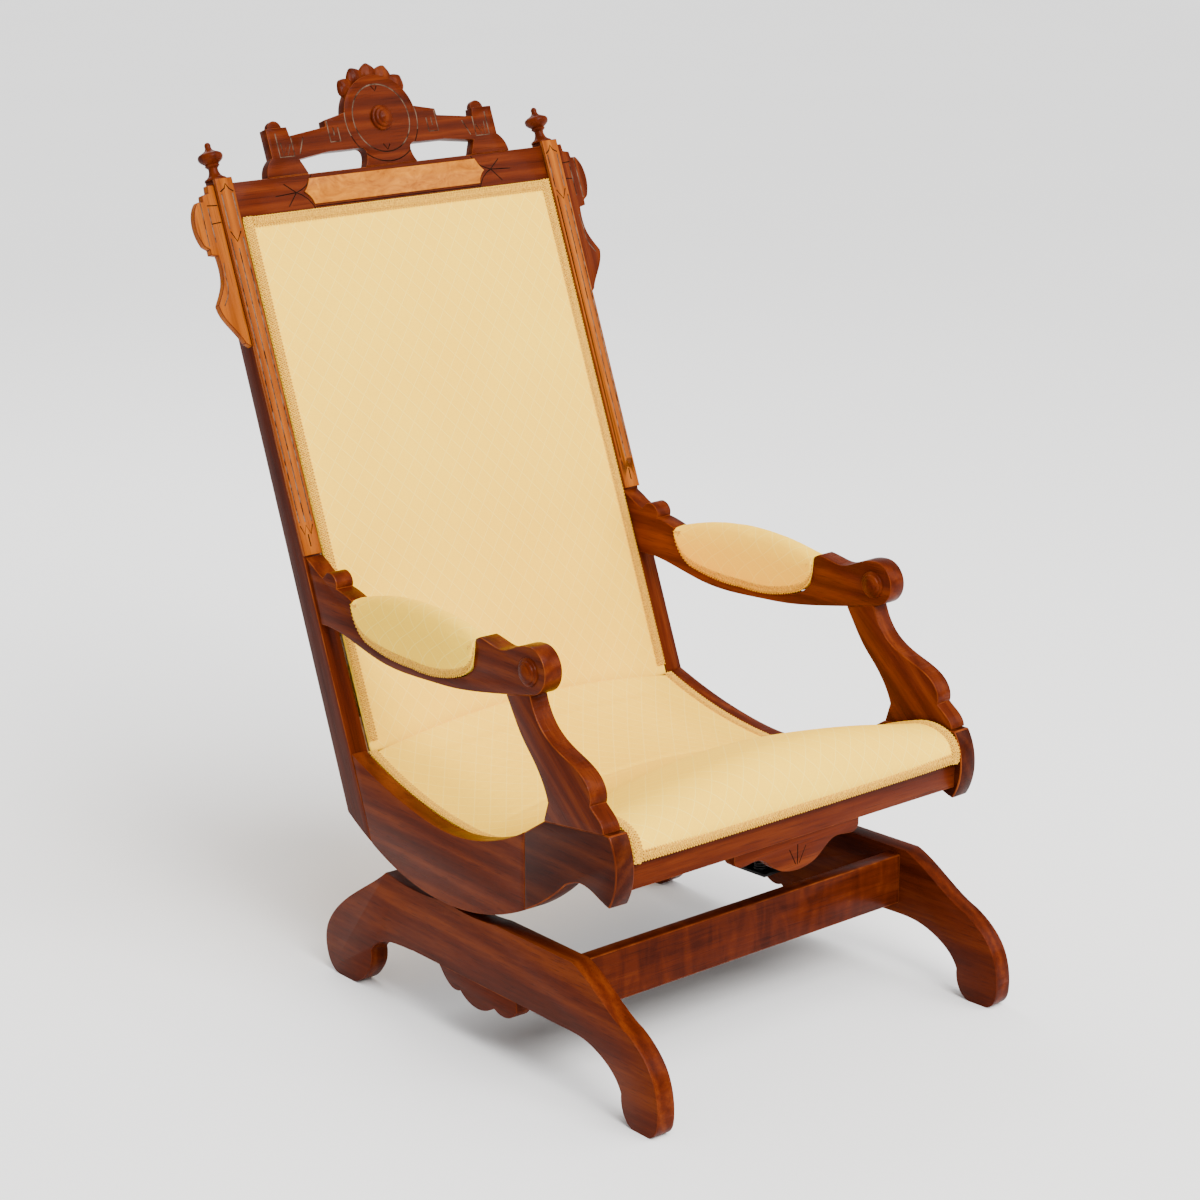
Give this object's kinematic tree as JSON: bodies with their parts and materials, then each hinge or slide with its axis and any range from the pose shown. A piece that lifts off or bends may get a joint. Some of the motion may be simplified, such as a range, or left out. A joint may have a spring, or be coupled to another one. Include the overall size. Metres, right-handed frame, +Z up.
{
  "type": "platform rocker",
  "caption": "Upholstered armchair with a tall leaning back that rocks on a fixed footed base, held to it by coil springs.",
  "frame": {"origin": "on the floor, under the middle of the overall box", "axes": "+Z up, the sitter faces -Y, and the sitter's left side is +X"},
  "size_m": [0.6558, 0.9338, 1.1491],
  "materials": {
    "walnut": "dark red-brown walnut, old polish, lighter on worn arrises",
    "light_walnut": "warm lighter walnut facing, satin",
    "burl": "golden orange burl veneer, satin",
    "frame_wood": "plain unpolished hardwood",
    "upholstery": "pale yellow cloth with a fine woven diamond lattice",
    "gimp": "golden braid",
    "webbing": "jute webbing",
    "dust_cloth": "black cambric",
    "back_cloth": "plain pale cloth on a thin board",
    "iron": "black japanned iron and spring steel",
    "screws": "dull steel"
  },
  "bodies": {
    "base": {"base_side_left": "walnut", "base_side_right": "walnut", "base_drop_left": "walnut", "base_drop_right": "walnut", "front_stretcher": "walnut", "rear_stretcher": "walnut", "spring_lower_bracket_left": "iron", "spring_lower_bracket_right": "iron", "springs_left": "iron", "springs_right": "iron", "bracket_screws_base": "screws"},
    "chair": {"arm_bosses_left": "walnut", "arm_bosses_right": "walnut", "arm_gimp_left": "gimp", "arm_gimp_right": "gimp", "arm_left": "walnut", "arm_pad_left": "upholstery", "arm_pad_right": "upholstery", "arm_right": "walnut", "arm_stump_left": "walnut", "arm_stump_right": "walnut", "back_cushion": "upholstery", "back_gimp": "gimp", "back_lower_rail": "frame_wood", "back_webbing": "webbing", "bracket_screws_chair": "screws", "burl_panel": "burl", "corner_blocks": "frame_wood", "crest_board": "walnut", "crest_boss": "walnut", "crest_rail": "walnut", "crest_shell": "walnut", "dust_cloth": "dust_cloth", "ear_bracket_left": "walnut", "ear_bracket_right": "walnut", "finial_left": "walnut", "finial_right": "walnut", "front_block_left": "walnut", "front_block_right": "walnut", "front_rail_drop": "walnut", "outside_back_panel": "back_cloth", "rocker_panel_left": "walnut", "rocker_panel_right": "walnut", "seat_batten_left": "frame_wood", "seat_batten_right": "frame_wood", "seat_cushion": "upholstery", "seat_front_rail": "walnut", "seat_gimp": "gimp", "seat_rear_rail": "frame_wood", "seat_webbing": "webbing", "spring_upper_bracket_left": "iron", "spring_upper_bracket_right": "iron", "stile_cap_left": "walnut", "stile_cap_right": "walnut", "stile_facing_left": "light_walnut", "stile_facing_right": "light_walnut", "stile_left": "walnut", "stile_right": "walnut"}
  },
  "joints": [
    {"name": "rock", "type": "hinge", "parent": "base", "child": "chair", "pos_m": [0, -0.05476, 0.175], "axis": [1, 0, 0], "range_deg": [-10, 8], "stiffness_Nm_per_rad": 260, "springref_deg": 1.46, "deforming": ["springs_left", "springs_right"]}
  ]
}
